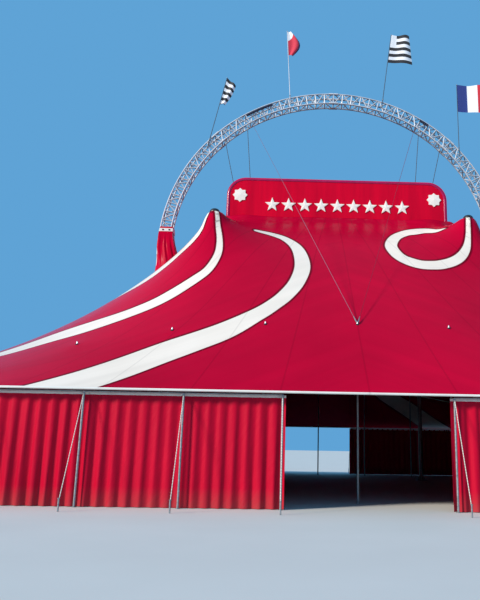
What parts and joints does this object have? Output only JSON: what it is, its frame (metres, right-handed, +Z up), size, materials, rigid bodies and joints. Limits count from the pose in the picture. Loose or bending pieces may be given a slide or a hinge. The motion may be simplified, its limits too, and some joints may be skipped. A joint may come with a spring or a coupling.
{
  "type": "circus big top tent",
  "caption": "Red big top with a rounded oblong plan, a box cupola hung from a tall lattice arch, peaked masts, side poles and walls, open inside.",
  "frame": {"origin": "middle of the plan on the ground", "axes": "+Z up, -Y towards the public's front, +X towards the right-hand end seen from the front"},
  "size_m": [39.444, 30.244, 24.171],
  "materials": {
    "red_canopy": "glossy PVC-coated polyester",
    "red_panel": "glossy red cladding with white raised stars and rosettes",
    "red_curtain": "satin PVC-coated polyester, hung in pleats",
    "white_steel": "pale grey painted lattice",
    "galvanised_steel": "dull galvanised tube",
    "steel_cable": "dark wire rope",
    "striped_flag": "woven polyester, black and white stripes",
    "red_white_flag": "woven polyester, red and white",
    "tricolour_flag": "woven polyester, blue, white and red bands",
    "white_canopy": "glossy white PVC-coated polyester, for bands, hems, stars and rosettes",
    "dark_fitting": "black painted steel fittings",
    "guy_rope": "grey polyester rope and webbing"
  },
  "bodies": {
    "root": {"arch_leg_left": "white_steel", "arch_leg_right": "white_steel", "arch_section_left_low": "white_steel", "arch_section_left_top": "white_steel", "arch_section_right_low": "white_steel", "arch_section_right_top": "white_steel", "roof_front_left": "red_canopy", "roof_front_right": "red_canopy", "roof_back_left": "red_canopy", "roof_back_right": "red_canopy", "boot_left": "red_canopy", "boot_right": "red_canopy", "cupola_ring": "galvanised_steel", "cupola_panel_front": "red_panel", "cupola_panel_back": "red_panel", "cupola_cover": "red_canopy", "hanger_outer_left": "steel_cable", "hanger_inner_left": "steel_cable", "hanger_outer_right": "steel_cable", "hanger_inner_right": "steel_cable", "stays_front": "steel_cable", "mast_front_left": "galvanised_steel", "mast_front_right": "galvanised_steel", "mast_back_left": "galvanised_steel", "mast_back_right": "galvanised_steel", "quarter_poles_front_left": "galvanised_steel", "quarter_poles_front_right": "galvanised_steel", "quarter_poles_back_left": "galvanised_steel", "quarter_poles_back_right": "galvanised_steel", "side_poles_front_left": "galvanised_steel", "side_poles_front_right": "galvanised_steel", "side_poles_back_left": "galvanised_steel", "side_poles_back_right": "galvanised_steel", "wall_front_left": "red_curtain", "wall_front_right": "red_curtain", "wall_back_left": "red_curtain", "wall_back_right": "red_curtain", "wall_end_left": "red_curtain", "wall_end_right": "red_curtain", "flagpole_1": "galvanised_steel", "flagpole_2": "galvanised_steel", "flagpole_3": "galvanised_steel", "flagpole_4": "galvanised_steel", "flag_1": "striped_flag", "flag_2": "red_white_flag", "flag_3": "striped_flag", "flag_4": "tricolour_flag"}
  },
  "joints": []
}
